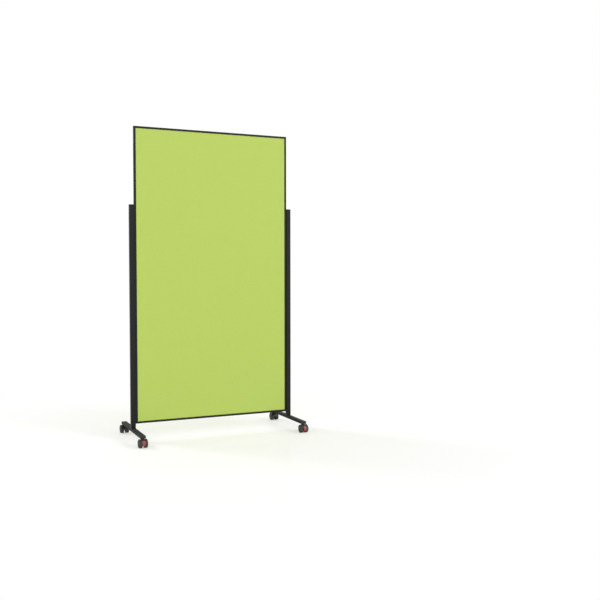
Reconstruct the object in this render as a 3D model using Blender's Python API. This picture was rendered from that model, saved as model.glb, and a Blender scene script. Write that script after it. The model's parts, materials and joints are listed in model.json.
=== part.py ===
# Mobile pinboard: a felt-covered board in a grooved frame, clamped between two posts that stand on
# flat foot bars with twin-wheel casters. Metres, +Z up, the viewer's side is -Y.
# The origin lies on the floor under the middle of the board.
import math

import bmesh
import bpy
from mathutils import Matrix
from mathutils import Vector

# Clearances
FIT_GAP = 0.0003
CUT_OVERRUN = 0.001

# Board
BOARD_WIDTH = 1.000
BOARD_HEIGHT = 1.800
BOARD_FLOOR_HEIGHT = 0.100
FELT_THICKNESS = 0.0015

# Frame extrusion: a channel for the panel inside, a T-shaped groove outside
FRAME_DEPTH = 0.018
FRAME_LIP_REACH = 0.0065
FRAME_LIP_WALL = 0.0018
FRAME_WEB = 0.0015
FRAME_EDGE_RADIUS = 0.001
GROOVE_MOUTH_WALL = 0.0015
GROOVE_CAVITY_DEPTH = 0.003
GROOVE_SIDE_WALL = 0.0028
KEY_LEG = 0.104

# Posts
POST_GAP = 0.001
POST_WIDTH = 0.0285
POST_DEPTH = 0.024
POST_WALL = 0.002
POST_CORNER_RADIUS = 0.002
POST_TOP_HEIGHT = 1.430
POST_CAP_THICKNESS = 0.003
POST_CAP_PLUG = 0.015
POST_INSERT_LENGTH = 0.040

# Foot bars
FOOT_LENGTH = 0.500
FOOT_WIDTH = 0.032
FOOT_HEIGHT = 0.017
FOOT_WALL = 0.002
FOOT_CORNER_RADIUS = 0.0025
FOOT_CAP_THICKNESS = 0.004
FOOT_CAP_PLUG = 0.009
CAP_EDGE = 0.0015

# Foot bolts
FOOT_BOLT_DIAMETER = 0.008
FOOT_BOLT_HEAD_DIAMETER = 0.013
FOOT_BOLT_HEAD_HEIGHT = 0.005
FOOT_BOLT_REACH = 0.032
FOOT_BOLT_SOCKET = 0.005
FOOT_BOLT_SOCKET_DEPTH = 0.0028

# Clamps: a shouldered nut in the frame's groove and a flush screw through the post
CLAMP_TOP_INSET = 0.040
BOARD_RISE = 0.200
RISE_CLEARANCE = 0.001
SLIDE_NUT_LENGTH = 0.030
SLIDE_NUT_NECK_WALL = 0.0009
SCREW_DIAMETER = 0.005
SCREW_HEAD_DIAMETER = 0.010
SCREW_SOCKET = 0.003
SCREW_SOCKET_DEPTH = 0.0015
SCREW_TIP_SETBACK = 0.0006

# Wheels
WHEEL_RADIUS = 0.025
WHEEL_WIDTH = 0.020
WHEEL_GAP = 0.012
WHEEL_OUTER_EDGE = 0.005
WHEEL_INNER_EDGE = 0.0025
WHEEL_RIM = 0.0045
WHEEL_FACE_WALL = 0.003
WHEEL_DISH_DEPTH = 0.0016
WHEEL_DISH_SLOPE = 0.001
WHEEL_HUB_RADIUS = 0.007
WHEEL_HUB_WALL = 0.004
AXLE_DIAMETER = 0.006

# Caster housings
CASTER_INSET = 0.020
CASTER_TRAIL = 0.010
HOOD_CLEARANCE = 0.001
HOOD_THICKNESS = 0.0016
HOOD_SETBACK = 0.0015
HOUSING_HUB_RADIUS = 0.009
COLLAR_RADIUS = 0.0085
COLLAR_HEIGHT = 0.006
COLLAR_EDGE = 0.0008
STEM_DIAMETER = 0.008
STEM_FLANGE_DIAMETER = 0.016
STEM_FLANGE_THICKNESS = 0.0018
STEM_DEPTH = 0.024
STEM_TOP_CLEARANCE = 0.003
STEM_NUT_WIDTH = 0.013
STEM_NUT_HEIGHT = 0.0065

# Brake pedals
PEDAL_WIDTH = 0.018
PEDAL_THICKNESS = 0.003
PEDAL_WHEEL_GAP = 0.0024
PEDAL_EDGE = 0.0009
PEDAL_TOE_RADIUS = 0.0015
PEDAL_ARM_THICKNESS = 0.0044
PEDAL_PIVOT_RADIUS = 0.019
PEDAL_BARREL_RADIUS = 0.0036
PEDAL_PIN_DIAMETER = 0.003
PEDAL_CHEEK_WALL = 0.0012
PEDAL_SLOT_CLEARANCE = 0.0016

# Angles round the caster's axle, from straight ahead of the wheels towards the top, in degrees
HOOD_START_DEG = 62
PLAIN_HOOD_START_DEG = 30
HOOD_END_DEG = 178
HUB_START_DEG = 240
HUB_END_DEG = 360
PEDAL_LOW_DEG = -10
PEDAL_HIGH_DEG = 50
PEDAL_TOE_TURN_DEG = 75
PEDAL_ARM_LOW_DEG = 20
PEDAL_ARM_HIGH_DEG = 44
PEDAL_PIVOT_DEG = 52

# Facets
WHEEL_STEPS = 24
WHEEL_INNER_EDGE_STEPS = 1
WHEEL_OUTER_EDGE_STEPS = 3
COLLAR_STEPS = 20
PIN_STEPS = 12
HOOD_STEPS = 12
HUB_STEPS = 5
PEDAL_STEPS = 8
TOE_STEPS = 3
DISC_STEPS = 36
CORNER_STEPS = 3
HEX_SIDES = 6
SMOOTH_DEG = 35

# Sizes that follow from the ones above
FACE_WIDTH = GROOVE_MOUTH_WALL + GROOVE_CAVITY_DEPTH + FRAME_WEB + FRAME_LIP_REACH
CHANNEL_FLOOR = FACE_WIDTH - FRAME_LIP_REACH
CAVITY_WIDTH = FRAME_DEPTH - 2 * GROOVE_SIDE_WALL
NECK_WIDTH = SCREW_DIAMETER + 2 * FIT_GAP + 2 * SLIDE_NUT_NECK_WALL
MOUTH_WIDTH = NECK_WIDTH + 2 * FIT_GAP
PANEL_WIDTH = BOARD_WIDTH - 2 * (CHANNEL_FLOOR + FIT_GAP)
PANEL_HEIGHT = BOARD_HEIGHT - 2 * (CHANNEL_FLOOR + FIT_GAP)
FELT_FACE = FRAME_DEPTH / 2 - FRAME_LIP_WALL - FIT_GAP
CORE_THICKNESS = 2 * (FELT_FACE - FELT_THICKNESS - FIT_GAP)
POST_CENTRE = BOARD_WIDTH / 2 + POST_GAP + POST_WIDTH / 2
HOOD_INNER = WHEEL_RADIUS + HOOD_CLEARANCE
HOOD_OUTER = HOOD_INNER + HOOD_THICKNESS
HOUSING_TOP = WHEEL_RADIUS + HOOD_OUTER
FOOT_UNDERSIDE = HOUSING_TOP + 2 * FIT_GAP + STEM_FLANGE_THICKNESS
FOOT_TOP = FOOT_UNDERSIDE + FOOT_HEIGHT
POST_BOTTOM = FOOT_TOP + FIT_GAP
POST_TUBE_TOP = POST_TOP_HEIGHT - POST_CAP_THICKNESS - FIT_GAP
STEM_OFFSET = FOOT_LENGTH / 2 - CASTER_INSET
WEB_HALF = WHEEL_GAP / 2 - FIT_GAP
HOOD_HALF = WHEEL_GAP / 2 + WHEEL_WIDTH - HOOD_SETBACK
PEDAL_INNER = WHEEL_RADIUS + PEDAL_WHEEL_GAP
PEDAL_OUTER = PEDAL_INNER + PEDAL_THICKNESS
AXLE_PLACE = (-CASTER_TRAIL, WHEEL_RADIUS)
WHEEL_BORE_DEPTH = WHEEL_WIDTH - WHEEL_HUB_WALL
KEY_TOP = BOARD_FLOOR_HEIGHT + KEY_LEG
LOWER_CLAMP_HEIGHT = KEY_TOP + BOARD_RISE + RISE_CLEARANCE + SLIDE_NUT_LENGTH / 2
CLAMP_HEIGHTS = (POST_TOP_HEIGHT - CLAMP_TOP_INSET, LOWER_CLAMP_HEIGHT)


# Scene, materials and mesh helpers


def clear_scene():
    for obj in list(bpy.data.objects):
        bpy.data.objects.remove(obj)


def make_material(name, colour, roughness, metallic):
    material = bpy.data.materials.new(name)
    material.use_nodes = True
    shader = material.node_tree.nodes["Principled BSDF"]
    shader.inputs["Base Color"].default_value = (*colour, 1.0)
    shader.inputs["Roughness"].default_value = roughness
    shader.inputs["Metallic"].default_value = metallic
    material.diffuse_color = (*colour, 1.0)
    return material


def place(name, mesh, parent, location=(0, 0, 0), turn=(0, 0, 0)):
    obj = bpy.data.objects.new(name, mesh)
    bpy.context.scene.collection.objects.link(obj)
    obj.parent = parent
    obj.location = location
    obj.rotation_euler = turn
    return obj


def place_empty(name, parent, location, turn=(0, 0, 0)):
    return place(name, None, parent, location, turn)


def to_mesh(bm, name, material, smooth=False):
    bmesh.ops.recalc_face_normals(bm, faces=bm.faces)
    mesh = bpy.data.meshes.new(name)
    bm.to_mesh(mesh)
    bm.free()
    return dress(mesh, material, smooth)


def dress(mesh, material, smooth):
    mesh.materials.clear()
    mesh.materials.append(material)
    if smooth:
        mesh.shade_smooth()
        mesh.set_sharp_from_angle(angle=math.radians(SMOOTH_DEG))
    return mesh


def arc(centre, radius, start_deg, end_deg, steps):
    points = []
    for i in range(steps + 1):
        angle = math.radians(start_deg + (end_deg - start_deg) * i / steps)
        points.append((centre[0] + radius * math.cos(angle), centre[1] + radius * math.sin(angle)))
    return points


def rounded_rectangle(width, depth, radius):
    x = width / 2 - radius
    y = depth / 2 - radius
    points = []
    for quarter, centre in enumerate(((x, y), (-x, y), (-x, -y), (x, -y))):
        points += arc(centre, radius, 90 * quarter, 90 * quarter + 90, CORNER_STEPS)
    return points


def circle(radius, sides, turn_deg=0):
    return arc((0, 0), radius, turn_deg, turn_deg + 360, sides)[:-1]


def loft(bm, rings):
    # Joins rings of equal length one after the other and closes both ends.
    loops = [[bm.verts.new(point) for point in ring] for ring in rings]
    count = len(loops[0])
    for low, high in zip(loops, loops[1:]):
        for i in range(count):
            j = (i + 1) % count
            bm.faces.new((low[i], low[j], high[j], high[i]))
    bm.faces.new(loops[0])
    bm.faces.new(loops[-1])


def add_prism(bm, outline, start, end, to_space):
    # A flat outline drawn at start, and extruded to end along the third direction.
    verts = [bm.verts.new(to_space(u, v, start)) for u, v in outline]
    face = bm.faces.new(verts)
    grown = bmesh.ops.extrude_face_region(bm, geom=[face])["geom"]
    shift = Vector(to_space(0, 0, end)) - Vector(to_space(0, 0, start))
    bmesh.ops.translate(bm, vec=shift, verts=[item for item in grown if isinstance(item, bmesh.types.BMVert)])


def add_tube(bm, outer, inner, start, end, to_space):
    # Two outlines with as many points each make the ring that is extruded.
    loops = [[bm.verts.new(to_space(u, v, start)) for u, v in outline] for outline in (outer, inner)]
    edges = []
    for loop in loops:
        edges += [bm.edges.new((loop[i], loop[(i + 1) % len(loop)])) for i in range(len(loop))]
    faces = bmesh.ops.bridge_loops(bm, edges=edges)["faces"]
    grown = bmesh.ops.extrude_face_region(bm, geom=faces)["geom"]
    shift = Vector(to_space(0, 0, end)) - Vector(to_space(0, 0, start))
    bmesh.ops.translate(bm, vec=shift, verts=[item for item in grown if isinstance(item, bmesh.types.BMVert)])


def along_x(u, v, t):
    return (t, u, v)


def along_y(u, v, t):
    return (u, t, v)


def along_z(u, v, t):
    return (u, v, t)


def add_turned(bm, profile, steps, axis):
    # A profile of (place along the axis, radius) turned once round the axis.
    along = Vector(axis)
    out = Vector((0, 0, 1)) if axis[2] == 0 else Vector((1, 0, 0))
    verts = [bm.verts.new(along * place_on_axis + out * radius) for place_on_axis, radius in profile]
    edges = [bm.edges.new(pair) for pair in zip(verts, verts[1:])]
    bmesh.ops.spin(bm, geom=verts + edges, cent=(0, 0, 0), axis=axis, angle=2 * math.pi, steps=steps)
    bmesh.ops.remove_doubles(bm, verts=bm.verts, dist=FIT_GAP / 100)


def prism_mesh(name, outline, start, end, to_space, material=None):
    bm = bmesh.new()
    add_prism(bm, outline, start, end, to_space)
    return to_mesh(bm, name, material)


def turned_mesh(name, profile, steps, axis, material=None, smooth=True):
    bm = bmesh.new()
    add_turned(bm, profile, steps, axis)
    return to_mesh(bm, name, material, smooth)


def rod_mesh(name, radius, start, end, axis):
    return turned_mesh(name, [(start, 0), (start, radius), (end, radius), (end, 0)], PIN_STEPS, axis)


def moved(mesh, shift):
    mesh.transform(Matrix.Translation(shift))
    return mesh


def combine(base, tools, operation):
    # Applies one Boolean for each tool and gives back the finished mesh.
    body = place("work_body", base, None)
    helpers = []
    for tool in tools:
        helper = place("work_tool", tool, None)
        helpers.append(helper)
        modifier = body.modifiers.new("combine", "BOOLEAN")
        modifier.operation = operation
        modifier.object = helper
    graph = bpy.context.evaluated_depsgraph_get()
    result = bpy.data.meshes.new_from_object(body.evaluated_get(graph))
    for obj in helpers + [body]:
        bpy.data.objects.remove(obj)
    return result


# Board: core, felts, frame and corner keys


def sheet_mesh(name, width, height, near, far, material):
    outline = [(-width / 2, 0), (width / 2, 0), (width / 2, height), (-width / 2, height)]
    return prism_mesh(name, outline, near, far, along_y, material)


def frame_section():
    # Outline of the extrusion as (depth inwards from its outer face, place across its depth).
    half = FRAME_DEPTH / 2
    r = FRAME_EDGE_RADIUS
    inner = half - FRAME_LIP_WALL
    mouth = MOUTH_WIDTH / 2
    cavity = CAVITY_WIDTH / 2
    cavity_floor = GROOVE_MOUTH_WALL + GROOVE_CAVITY_DEPTH
    upper = [(0, mouth)]
    upper += arc((r, half - r), r, 180, 90, CORNER_STEPS)
    upper += arc((FACE_WIDTH - r, half - r), r, 90, 0, CORNER_STEPS)
    upper += [(FACE_WIDTH, inner), (CHANNEL_FLOOR, inner)]
    lower = [(u, -v) for u, v in reversed(upper)]
    groove = [(GROOVE_MOUTH_WALL, -mouth), (GROOVE_MOUTH_WALL, -cavity), (cavity_floor, -cavity)]
    groove += [(u, -v) for u, v in reversed(groove)]
    return upper + lower + groove


def rail_mesh(name, length, material):
    # Runs along X with its outer face up; both ends are mitred.
    section = frame_section()
    reach = length / 2 - FIT_GAP
    bm = bmesh.new()
    loft(bm, [[(side * (reach - u), v, -u) for u, v in section] for side in (-1, 1)])
    return to_mesh(bm, name, material, True)


def key_section():
    neck = MOUTH_WIDTH / 2 - FIT_GAP
    wing = CAVITY_WIDTH / 2 - FIT_GAP
    shoulder = GROOVE_MOUTH_WALL + FIT_GAP
    floor = GROOVE_MOUTH_WALL + GROOVE_CAVITY_DEPTH - FIT_GAP
    right = [(0, neck), (shoulder, neck), (shoulder, wing), (floor, wing)]
    return right + [(u, -v) for u, v in reversed(right)]


def key_mesh(material):
    # Two legs of one T section, mitred where they meet; the corner is at the mesh's origin.
    section = key_section()
    leg_a = [(KEY_LEG, v, -u) for u, v in section]
    corner = [(u, v, -u) for u, v in section]
    leg_b = [(u, v, -KEY_LEG) for u, v in section]
    bm = bmesh.new()
    loft(bm, [leg_a, corner, leg_b])
    return to_mesh(bm, "corner_key", material)


def build_board(materials):
    board = place_empty("board_slide", None, (0, 0, BOARD_FLOOR_HEIGHT))
    panel_foot = (0, 0, CHANNEL_FLOOR + FIT_GAP)
    core_half = CORE_THICKNESS / 2
    core = sheet_mesh("core_panel", PANEL_WIDTH, PANEL_HEIGHT, -core_half, core_half, materials["core"])
    place("core_panel", core, board, panel_foot)
    felt_back = FELT_FACE - FELT_THICKNESS
    felt = sheet_mesh("felt", PANEL_WIDTH, PANEL_HEIGHT, felt_back, FELT_FACE, materials["felt"])
    place("rear_felt", felt, board, panel_foot)
    place("front_felt", felt, board, panel_foot, (0, 0, math.pi))
    rail = rail_mesh("rail", BOARD_WIDTH, materials["frame"])
    stile = rail_mesh("stile", BOARD_HEIGHT, materials["frame"])
    place("top_rail", rail, board, (0, 0, BOARD_HEIGHT))
    place("bottom_rail", rail, board, (0, 0, 0), (0, math.pi, 0))
    place("left_stile", stile, board, (-BOARD_WIDTH / 2, 0, BOARD_HEIGHT / 2), (0, -math.pi / 2, 0))
    place("right_stile", stile, board, (BOARD_WIDTH / 2, 0, BOARD_HEIGHT / 2), (0, math.pi / 2, 0))
    key = key_mesh(materials["key"])
    corners = (("top_left", -1, 1), ("top_right", 1, 1), ("bottom_right", 1, 0), ("bottom_left", -1, 0))
    for quarter, (name, side, level) in enumerate(corners):
        spot = (side * BOARD_WIDTH / 2, 0, level * BOARD_HEIGHT)
        place(name + "_corner_key", key, board, spot, (0, quarter * math.pi / 2, 0))


# Stand: posts, clamps, foot bars and their plugs and bolts


def plug_mesh(name, outer_size, outer_radius, wall, plate, plug, material):
    # A plate as wide as the tube with a shrunk tongue that fills the tube's end; the plate's foot is at zero.
    bore = (outer_size[0] - 2 * (wall + FIT_GAP), outer_size[1] - 2 * (wall + FIT_GAP))
    bore_radius = min(outer_radius, min(bore) / 4)
    crown = (outer_size[0] - 2 * CAP_EDGE, outer_size[1] - 2 * CAP_EDGE)
    crown_radius = min(outer_radius, min(crown) / 4)
    shapes = [(bore, bore_radius, -plug), (bore, bore_radius, 0), (outer_size, outer_radius, 0)]
    shapes += [(outer_size, outer_radius, plate - CAP_EDGE), (crown, crown_radius, plate)]
    bm = bmesh.new()
    loft(bm, [[(u, v, level) for u, v in rounded_rectangle(*size, radius)] for size, radius, level in shapes])
    return to_mesh(bm, name, material, True)


def screw_profile(clearance):
    # Countersunk screw as (place along X from the board's edge outwards, radius).
    radius = SCREW_DIAMETER / 2 + clearance
    head = SCREW_HEAD_DIAMETER / 2 + clearance
    face = POST_GAP + POST_WIDTH
    tip = -(GROOVE_MOUTH_WALL + GROOVE_CAVITY_DEPTH - FIT_GAP - SCREW_TIP_SETBACK)
    return [(tip, 0), (tip, radius), (face - (head - radius), radius), (face, head), (face, 0)]


def clamp_screw_mesh(material):
    screw = turned_mesh("clamp_screw", screw_profile(0), PIN_STEPS, (1, 0, 0), material)
    face = POST_GAP + POST_WIDTH
    hexagon = circle(SCREW_SOCKET / math.sqrt(3), HEX_SIDES)
    socket = prism_mesh("socket", hexagon, face - SCREW_SOCKET_DEPTH, face + CUT_OVERRUN, along_x)
    return dress(combine(screw, [socket], "DIFFERENCE"), material, True)


def slide_nut_mesh(material):
    neck = NECK_WIDTH / 2
    wing = CAVITY_WIDTH / 2 - FIT_GAP
    shoulder = -(GROOVE_MOUTH_WALL + FIT_GAP)
    floor = -(GROOVE_MOUTH_WALL + GROOVE_CAVITY_DEPTH - FIT_GAP)
    seat = POST_GAP - FIT_GAP
    right = [(seat, neck), (shoulder, neck), (shoulder, wing), (floor, wing)]
    outline = right + [(u, -v) for u, v in reversed(right)]
    half = SLIDE_NUT_LENGTH / 2
    nut = prism_mesh("slide_nut", outline, -half, half, along_z)
    bore = rod_mesh("bore", SCREW_DIAMETER / 2 + FIT_GAP, floor - CUT_OVERRUN, seat + CUT_OVERRUN, (1, 0, 0))
    return dress(combine(nut, [bore], "DIFFERENCE"), material, True)


def post_mesh(material):
    # Origin on the floor, in the middle of the section; +X is the outer face.
    outer = rounded_rectangle(POST_WIDTH, POST_DEPTH, POST_CORNER_RADIUS)
    bore_radius = POST_CORNER_RADIUS / 2
    inner = rounded_rectangle(POST_WIDTH - 2 * POST_WALL, POST_DEPTH - 2 * POST_WALL, bore_radius)
    bm = bmesh.new()
    add_tube(bm, outer, inner, POST_BOTTOM, POST_TUBE_TOP, along_z)
    tube = to_mesh(bm, "post_tube", material)
    profile = screw_profile(FIT_GAP)
    face, head = profile[3]
    profile = profile[:3] + [(face, head), (face + CUT_OVERRUN, head), (face + CUT_OVERRUN, 0)]
    cutters = []
    for height in CLAMP_HEIGHTS:
        cutter = turned_mesh("screw_hole", profile, PIN_STEPS, (1, 0, 0))
        cutters.append(moved(cutter, (-POST_GAP - POST_WIDTH / 2, 0, height)))
    return dress(combine(tube, cutters, "DIFFERENCE"), material, True)


def post_insert_mesh(material):
    # Stands in the lower end of the post, its foot level with the post's.
    width = POST_WIDTH - 2 * (POST_WALL + FIT_GAP)
    depth = POST_DEPTH - 2 * (POST_WALL + FIT_GAP)
    outline = rounded_rectangle(width, depth, POST_CORNER_RADIUS / 2 + FIT_GAP)
    block = prism_mesh("post_insert", outline, 0, POST_INSERT_LENGTH, along_z)
    top = POST_INSERT_LENGTH + CUT_OVERRUN
    bore = rod_mesh("bore", FOOT_BOLT_DIAMETER / 2 + FIT_GAP, -CUT_OVERRUN, top, (0, 0, 1))
    return dress(combine(block, [bore], "DIFFERENCE"), material, True)


def foot_bar_mesh(material):
    # A flat tube along Y, with a bolt hole through both walls and a stem hole near each end.
    length = FOOT_LENGTH - 2 * (FOOT_CAP_THICKNESS + FIT_GAP)
    middle = FOOT_UNDERSIDE + FOOT_HEIGHT / 2
    outer = rounded_rectangle(FOOT_WIDTH, FOOT_HEIGHT, FOOT_CORNER_RADIUS)
    inner = rounded_rectangle(FOOT_WIDTH - 2 * FOOT_WALL, FOOT_HEIGHT - 2 * FOOT_WALL, FOOT_CORNER_RADIUS / 2)
    bm = bmesh.new()
    add_tube(bm, outer, inner, -length / 2, length / 2, along_y)
    tube = moved(to_mesh(bm, "foot_tube", material), (0, 0, middle))
    low = FOOT_UNDERSIDE - CUT_OVERRUN
    wall_top = FOOT_UNDERSIDE + FOOT_WALL + CUT_OVERRUN
    bolt_bore = FOOT_BOLT_DIAMETER / 2 + FIT_GAP
    cutters = [rod_mesh("bolt_hole", bolt_bore, low, FOOT_TOP + CUT_OVERRUN, (0, 0, 1))]
    for side in (-1, 1):
        hole = rod_mesh("stem_hole", STEM_DIAMETER / 2 + FIT_GAP, low, wall_top, (0, 0, 1))
        cutters.append(moved(hole, (0, side * STEM_OFFSET, 0)))
    return dress(combine(tube, cutters, "DIFFERENCE"), material, True)


def foot_bolt_mesh(material):
    # The head's upper side is at zero, just under the foot bar.
    radius = FOOT_BOLT_DIAMETER / 2
    head = FOOT_BOLT_HEAD_DIAMETER / 2
    tip = FIT_GAP + FOOT_HEIGHT + FIT_GAP + FOOT_BOLT_REACH
    bevel = radius / 4
    low = -FOOT_BOLT_HEAD_HEIGHT
    profile = [(low, 0), (low, head - bevel), (low + bevel, head), (0, head), (0, radius)]
    profile += [(tip - bevel, radius), (tip, radius - bevel), (tip, 0)]
    bolt = turned_mesh("foot_bolt", profile, PIN_STEPS, (0, 0, 1))
    hexagon = circle(FOOT_BOLT_SOCKET / math.sqrt(3), HEX_SIDES)
    socket = prism_mesh("socket", hexagon, low - CUT_OVERRUN, low + FOOT_BOLT_SOCKET_DEPTH, along_z)
    return dress(combine(bolt, [socket], "DIFFERENCE"), material, True)


def build_stand(materials):
    plastic = materials["plastic"]
    post_end = ((POST_WIDTH, POST_DEPTH), POST_CORNER_RADIUS, POST_WALL)
    foot_end = ((FOOT_WIDTH, FOOT_HEIGHT), FOOT_CORNER_RADIUS, FOOT_WALL)
    post = post_mesh(materials["post"])
    post_cap = plug_mesh("post_cap", *post_end, POST_CAP_THICKNESS, POST_CAP_PLUG, plastic)
    insert = post_insert_mesh(materials["steel"])
    foot_bar = foot_bar_mesh(materials["foot"])
    foot_cap = plug_mesh("foot_cap", *foot_end, FOOT_CAP_THICKNESS, FOOT_CAP_PLUG, plastic)
    foot_bolt = foot_bolt_mesh(materials["steel"])
    slide_nut = slide_nut_mesh(materials["steel"])
    clamp_screw = clamp_screw_mesh(materials["steel"])
    bar_middle = FOOT_UNDERSIDE + FOOT_HEIGHT / 2
    cap_seat = FOOT_LENGTH / 2 - FOOT_CAP_THICKNESS
    for name, side in (("left", -1), ("right", 1)):
        turn = (0, 0, 0 if side > 0 else math.pi)
        column = place_empty(name + "_column", None, (side * POST_CENTRE, 0, 0), turn)
        place(name + "_post", post, column)
        place(name + "_post_cap", post_cap, column, (0, 0, POST_TOP_HEIGHT - POST_CAP_THICKNESS))
        place(name + "_post_insert", insert, column, (0, 0, POST_BOTTOM))
        place(name + "_foot_bar", foot_bar, column)
        place(name + "_foot_bolt", foot_bolt, column, (0, 0, FOOT_UNDERSIDE - FIT_GAP))
        for end, way in (("front", -1), ("rear", 1)):
            spot = (0, way * side * cap_seat, bar_middle)
            tilt = (-way * side * math.pi / 2, 0, 0)
            place(name + "_" + end + "_foot_cap", foot_cap, column, spot, tilt)
        for level, height in zip(("upper", "lower"), CLAMP_HEIGHTS):
            spot = (-POST_WIDTH / 2 - POST_GAP, 0, height)
            place(name + "_" + level + "_slide_nut", slide_nut, column, spot)
            place(name + "_" + level + "_clamp_screw", clamp_screw, column, spot)


# Casters: stem and nut on the foot bar, housing with hood, axle, two wheels and the brake pedal


def on_caster(radius, degrees, centre=AXLE_PLACE):
    # A place in the caster's middle plane, (y, z), from its angle round the axle or another centre.
    # The wheels lead towards -Y, where the angle is zero.
    angle = math.radians(degrees)
    return (centre[0] - radius * math.cos(angle), centre[1] + radius * math.sin(angle))


def caster_arc(radius, start_deg, end_deg, steps, centre=AXLE_PLACE):
    turn = (end_deg - start_deg) / steps
    return [on_caster(radius, start_deg + turn * i, centre) for i in range(steps + 1)]


def caster_disc(radius, start, end, centre, steps):
    disc = prism_mesh("disc", circle(radius, steps), start, end, along_x)
    return moved(disc, (0, centre[0], centre[1]))


def wheel_mesh(material):
    # Runs from the inner side at zero to the outer face, along +X.
    bore = AXLE_DIAMETER / 2 + FIT_GAP
    r_in = WHEEL_INNER_EDGE
    r_out = WHEEL_OUTER_EDGE
    cup = WHEEL_RADIUS - WHEEL_RIM
    cup_floor = WHEEL_WIDTH - WHEEL_DISH_DEPTH - WHEEL_FACE_WALL
    dish = WHEEL_RADIUS - r_out
    dish_floor = WHEEL_WIDTH - WHEEL_DISH_DEPTH
    cap = WHEEL_HUB_RADIUS
    profile = [(WHEEL_BORE_DEPTH, 0), (WHEEL_BORE_DEPTH, bore), (0, bore), (0, cap)]
    profile += [(cup_floor, cap), (cup_floor, cup), (0, cup)]
    profile += arc((r_in, WHEEL_RADIUS - r_in), r_in, 180, 90, WHEEL_INNER_EDGE_STEPS)
    profile += arc((WHEEL_WIDTH - r_out, WHEEL_RADIUS - r_out), r_out, 90, 0, WHEEL_OUTER_EDGE_STEPS)
    profile += [(dish_floor, dish - WHEEL_DISH_SLOPE), (dish_floor, cap + WHEEL_DISH_SLOPE)]
    profile += [(WHEEL_WIDTH, cap), (WHEEL_WIDTH, 0)]
    return turned_mesh("wheel", profile, WHEEL_STEPS, (1, 0, 0), material)


def axle_mesh(material):
    half = WHEEL_GAP / 2 + WHEEL_BORE_DEPTH - FIT_GAP
    radius = AXLE_DIAMETER / 2
    bevel = radius / 5
    profile = [(-half, 0), (-half, radius - bevel), (-half + bevel, radius)]
    profile += [(half - bevel, radius), (half, radius - bevel), (half, 0)]
    return turned_mesh("axle", profile, PIN_STEPS, (1, 0, 0), material)


def stem_mesh(material):
    # A pin with a flange: the lower part turns in the housing, the upper part goes into the foot bar.
    radius = STEM_DIAMETER / 2
    flange = STEM_FLANGE_DIAMETER / 2
    low = HOUSING_TOP + FIT_GAP
    high = low + STEM_FLANGE_THICKNESS
    foot = HOUSING_TOP - STEM_DEPTH
    top = FOOT_TOP - FOOT_WALL - STEM_TOP_CLEARANCE
    bevel = radius / 5
    profile = [(foot, 0), (foot, radius - bevel), (foot + bevel, radius), (low, radius), (low, flange)]
    profile += [(high, flange), (high, radius), (top - bevel, radius), (top, radius - bevel), (top, 0)]
    return turned_mesh("caster_stem", profile, PIN_STEPS, (0, 0, 1), material)


def stem_nut_mesh(material):
    hexagon = circle(STEM_NUT_WIDTH / math.sqrt(3), HEX_SIDES)
    nut = prism_mesh("stem_nut", hexagon, 0, STEM_NUT_HEIGHT, along_z)
    top = STEM_NUT_HEIGHT + CUT_OVERRUN
    bore = rod_mesh("bore", STEM_DIAMETER / 2 + FIT_GAP, -CUT_OVERRUN, top, (0, 0, 1))
    return dress(combine(nut, [bore], "DIFFERENCE"), material, True)


def housing_mesh(braked, material):
    # A fan-shaped web with a hood over both wheels; the wheels' room is cut out of a full-width fan.
    start = HOOD_START_DEG if braked else PLAIN_HOOD_START_DEG
    outline = caster_arc(HOOD_OUTER, start, HOOD_END_DEG, HOOD_STEPS)
    outline += caster_arc(HOUSING_HUB_RADIUS, HUB_START_DEG, HUB_END_DEG, HUB_STEPS)
    fan = prism_mesh("fan", outline, -HOOD_HALF, HOOD_HALF, along_x)
    collar_low = HOUSING_TOP - COLLAR_HEIGHT
    profile = [(collar_low, 0), (collar_low, COLLAR_RADIUS), (HOUSING_TOP - COLLAR_EDGE, COLLAR_RADIUS)]
    profile += [(HOUSING_TOP, COLLAR_RADIUS - COLLAR_EDGE), (HOUSING_TOP, 0)]
    parts = [turned_mesh("collar", profile, COLLAR_STEPS, (0, 0, 1))]
    pivot = on_caster(PEDAL_PIVOT_RADIUS, PEDAL_PIVOT_DEG)
    lug = PEDAL_BARREL_RADIUS + PEDAL_CHEEK_WALL
    if braked:
        parts.append(caster_disc(lug, -WEB_HALF, WEB_HALF, pivot, PIN_STEPS))
    body = combine(fan, parts, "UNION")
    outside = HOOD_HALF + COLLAR_RADIUS
    cuts = []
    for side in (-1, 1):
        cuts.append(caster_disc(HOOD_INNER, side * WEB_HALF, side * outside, AXLE_PLACE, DISC_STEPS))
    stem_floor = HOUSING_TOP - STEM_DEPTH - FIT_GAP
    stem_bore = STEM_DIAMETER / 2 + FIT_GAP
    cuts.append(rod_mesh("stem_bore", stem_bore, stem_floor, HOUSING_TOP + CUT_OVERRUN, (0, 0, 1)))
    cuts.append(caster_disc(AXLE_DIAMETER / 2 + FIT_GAP, -WHEEL_GAP, WHEEL_GAP, AXLE_PLACE, PIN_STEPS))
    if braked:
        slot = PEDAL_ARM_THICKNESS / 2 + FIT_GAP
        cuts.append(caster_disc(PEDAL_BARREL_RADIUS + PEDAL_SLOT_CLEARANCE, -slot, slot, pivot, PIN_STEPS))
        cuts.append(caster_disc(PEDAL_PIN_DIAMETER / 2 + FIT_GAP, -WHEEL_GAP, WHEEL_GAP, pivot, PIN_STEPS))
    return dress(combine(body, cuts, "DIFFERENCE"), material, True)


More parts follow.
